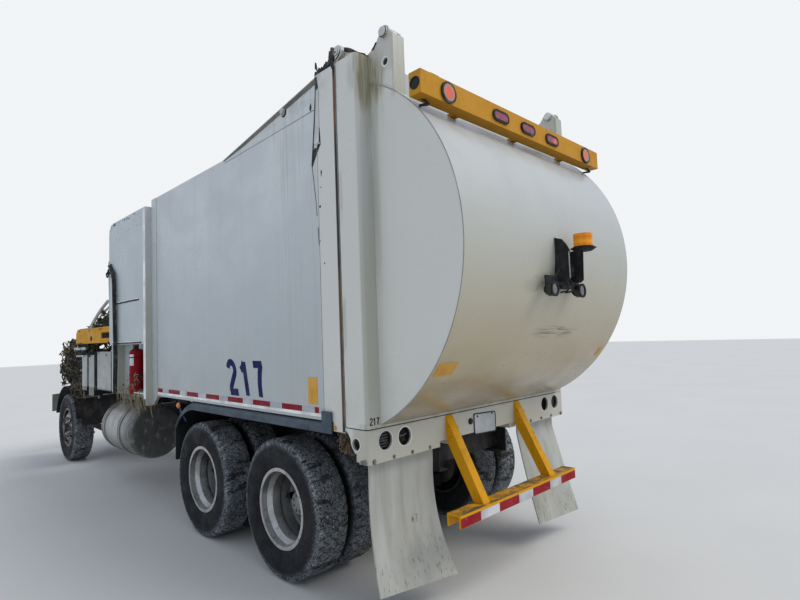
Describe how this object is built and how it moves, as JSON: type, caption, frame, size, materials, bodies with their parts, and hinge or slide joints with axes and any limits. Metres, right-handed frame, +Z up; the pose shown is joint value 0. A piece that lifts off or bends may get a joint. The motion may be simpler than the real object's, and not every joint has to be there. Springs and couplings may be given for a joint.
{
  "type": "side-loading garbage truck",
  "caption": "Three-axle side-loading garbage truck without its cab: boxy body, open hopper, barrel-shaped lifting tailgate, side arm, twin rear wheels.",
  "frame": {"origin": "on the ground, in the middle of the truck's length and width", "axes": "+X to the front, +Y to the left, +Z up"},
  "size_m": [9.3179, 2.573, 3.7949],
  "materials": {
    "white_paint": "semi-gloss, chalky and stained",
    "chassis_black": "satin, dusty",
    "chassis_grey": "satin, rusted at edges",
    "fender_grey": "worn satin",
    "tyre": "matte, dusty",
    "rim_paint": "satin, dusty",
    "aluminium": "brushed, dirty",
    "yellow_paint": "semi-gloss, faded",
    "amber_paint": "semi-gloss",
    "amber_lens": "glossy",
    "red_lens": "glossy",
    "black_rubber": "matte",
    "white_rubber": "matte, stained",
    "red_paint": "glossy, sun-bleached",
    "black_plastic": "matte",
    "cast_grey": "oily",
    "arm_black": "satin"
  },
  "bodies": {
    "chassis": {"arm_tubes": "chassis_black", "battery_box": "black_plastic", "body_floor": "white_paint", "body_front_wall": "white_paint", "body_rear_ring": "white_paint", "body_roof": "white_paint", "body_side_left": "white_paint", "body_side_right": "white_paint", "crossmembers": "chassis_black", "drive_axles": "cast_grey", "engine": "cast_grey", "extinguisher": "red_paint", "fenders": "fender_grey", "frame_rails": "chassis_black", "front_arches": "chassis_black", "front_axle": "cast_grey", "front_bumper": "chassis_grey", "front_springs": "chassis_black", "fuel_tank": "aluminium", "gearbox_and_shafts": "cast_grey", "hopper_floor": "white_paint", "hopper_front": "white_paint", "hopper_left": "white_paint", "mud_flaps": "white_rubber", "radiator": "chassis_black", "rear_bumper": "yellow_paint", "rear_sill": "white_paint", "riser_pipe": "black_rubber", "service_cabinet": "white_paint", "sill_lamps": "black_rubber", "tandem_suspension": "chassis_black", "tank_straps": "aluminium", "valve_box": "yellow_paint", "wing_panels": "white_paint"},
    "knuckle_left": {"knuckle_left": "cast_grey"},
    "knuckle_right": {"knuckle_right": "cast_grey"},
    "front_left_wheel": {"front_left_rim": "rim_paint", "front_left_tyre": "tyre"},
    "front_right_wheel": {"front_right_rim": "rim_paint", "front_right_tyre": "tyre"},
    "rear_left_wheels": {"rear_left_rims": "rim_paint", "rear_left_tyres": "tyre"},
    "rear_right_wheels": {"rear_right_rims": "rim_paint", "rear_right_tyres": "tyre"},
    "middle_left_wheels": {"middle_left_rims": "rim_paint", "middle_left_tyres": "tyre"},
    "middle_right_wheels": {"middle_right_rims": "rim_paint", "middle_right_tyres": "tyre"},
    "tailgate": {"tailgate_frame": "white_paint", "tailgate_barrel": "white_paint", "tailgate_towers": "white_paint", "light_bar": "amber_paint", "lamp_bracket": "black_plastic", "beacon": "amber_lens", "tailgate_lamps": "red_lens"},
    "packer": {"packer_blade": "chassis_grey"},
    "arm_carriage": {"arm_carriage": "arm_black"},
    "lift_arm": {"lift_arm": "arm_black"},
    "gripper_finger_front": {"gripper_finger_front": "arm_black"},
    "gripper_finger_rear": {"gripper_finger_rear": "arm_black"}
  },
  "joints": [
    {"name": "steer_left", "type": "hinge", "parent": "chassis", "child": "knuckle_left", "pos_m": [3.58, 0.9, 0.52], "axis": [0, 0, 1], "range_deg": [-35, 35]},
    {"name": "steer_right", "type": "hinge", "parent": "chassis", "child": "knuckle_right", "pos_m": [3.58, -0.9, 0.52], "axis": [0, 0, 1], "range_deg": [-35, 35]},
    {"name": "front_left_spin", "type": "hinge", "parent": "knuckle_left", "child": "front_left_wheel", "pos_m": [3.58, 1.062, 0.52], "axis": [0, 1, 0], "continuous": true},
    {"name": "front_right_spin", "type": "hinge", "parent": "knuckle_right", "child": "front_right_wheel", "pos_m": [3.58, -1.062, 0.52], "axis": [0, 1, 0], "continuous": true},
    {"name": "middle_left_spin", "type": "hinge", "parent": "chassis", "child": "middle_left_wheels", "pos_m": [-1.36, 0.91, 0.52], "axis": [0, 1, 0], "continuous": true},
    {"name": "middle_right_spin", "type": "hinge", "parent": "chassis", "child": "middle_right_wheels", "pos_m": [-1.36, -0.91, 0.52], "axis": [0, 1, 0], "continuous": true},
    {"name": "rear_left_spin", "type": "hinge", "parent": "chassis", "child": "rear_left_wheels", "pos_m": [-2.7, 0.91, 0.52], "axis": [0, 1, 0], "continuous": true},
    {"name": "rear_right_spin", "type": "hinge", "parent": "chassis", "child": "rear_right_wheels", "pos_m": [-2.7, -0.91, 0.52], "axis": [0, 1, 0], "continuous": true},
    {"name": "tailgate_lift", "type": "hinge", "parent": "chassis", "child": "tailgate", "pos_m": [-3.545, 0, 3.72], "axis": [0, 1, 0], "range_deg": [0, 85]},
    {"name": "packer_slide", "type": "slide", "parent": "chassis", "child": "packer", "axis": [-1, 0, 0], "range_m": [0, 0.84]},
    {"name": "arm_reach", "type": "slide", "parent": "chassis", "child": "arm_carriage", "axis": [0, -1, 0], "range_m": [0, 1.2]},
    {"name": "arm_lift", "type": "hinge", "parent": "arm_carriage", "child": "lift_arm", "pos_m": [0.42, -1.03, 1.95], "axis": [-1, 0, 0], "range_deg": [0, 160]},
    {"name": "grip_front", "type": "hinge", "parent": "lift_arm", "child": "gripper_finger_front", "pos_m": [0.72, -1.16, 0.925], "axis": [0, 0, 1], "range_deg": [0, 100]},
    {"name": "grip_rear", "type": "hinge", "parent": "lift_arm", "child": "gripper_finger_rear", "pos_m": [0.12, -1.16, 0.835], "axis": [0, 0, 1], "range_deg": [-100, 0]}
  ],
  "couplings": [
    {"joint": "steer_right", "follows": "steer_left", "ratio": 1},
    {"joint": "grip_rear", "follows": "grip_front", "ratio": -1}
  ]
}
